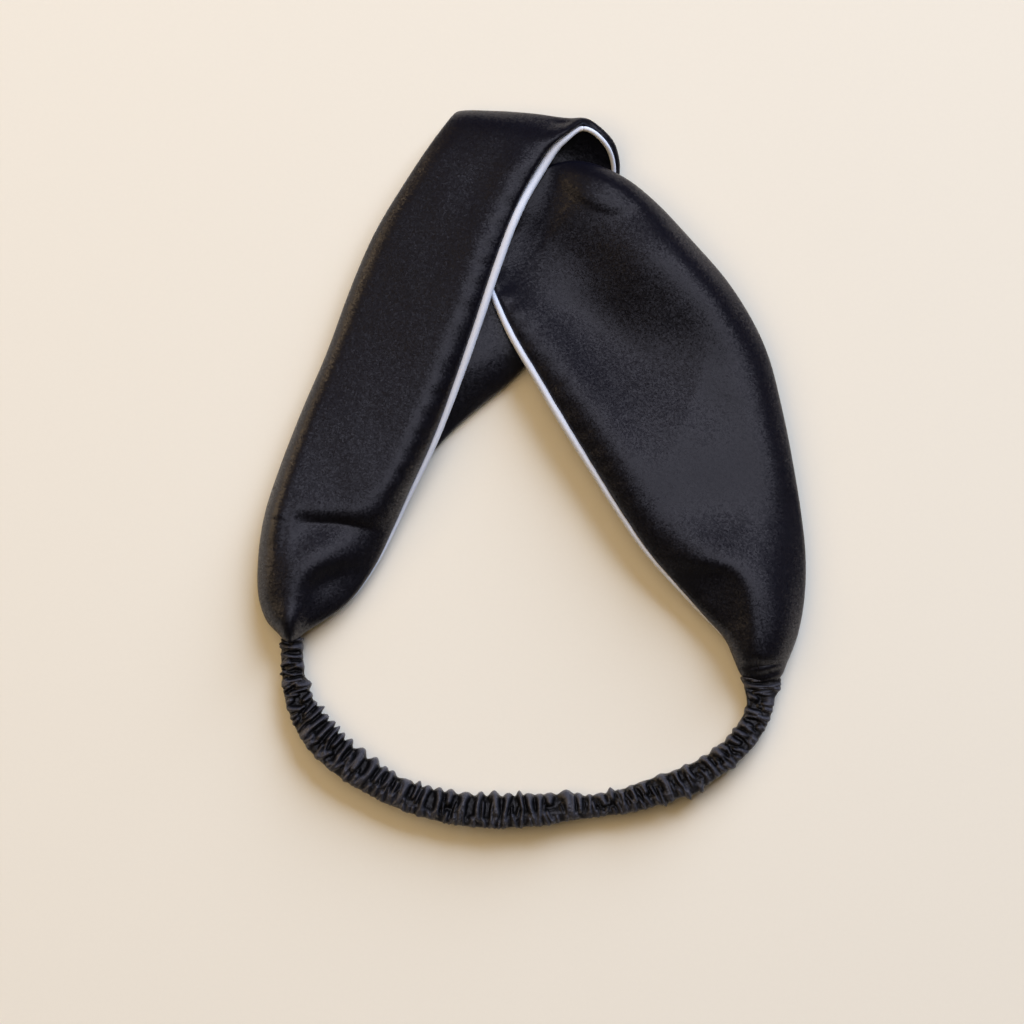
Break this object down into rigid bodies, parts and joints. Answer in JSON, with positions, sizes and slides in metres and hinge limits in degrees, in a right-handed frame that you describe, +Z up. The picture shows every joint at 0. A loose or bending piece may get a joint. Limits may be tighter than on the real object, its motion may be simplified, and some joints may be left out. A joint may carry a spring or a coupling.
{
  "type": "twist headband",
  "caption": "Twist headband of black satin lying flat: two wide sashes hooked through each other, pale piped inner edges, ruched elastic back.",
  "frame": {"origin": "middle of the headband's box, on the surface that it lies on", "axes": "+Z up from the surface, +Y from the ruched elastic towards the twist, +X to the right as it lies face up"},
  "size_m": [0.1596, 0.2084, 0.0162],
  "materials": {
    "black_satin": "near-black polyester satin with a soft blue-grey sheen",
    "piping_satin": "pale lavender-grey satin piping",
    "ruched_satin": "near-black satin gathered in fine ruffles",
    "elastic_tape": "plain woven elastic, hidden in the casing"
  },
  "bodies": {
    "root": {"left_sash": "black_satin", "right_sash": "black_satin", "left_piping": "piping_satin", "right_piping": "piping_satin", "elastic_casing": "ruched_satin", "elastic_band": "elastic_tape"}
  },
  "joints": []
}
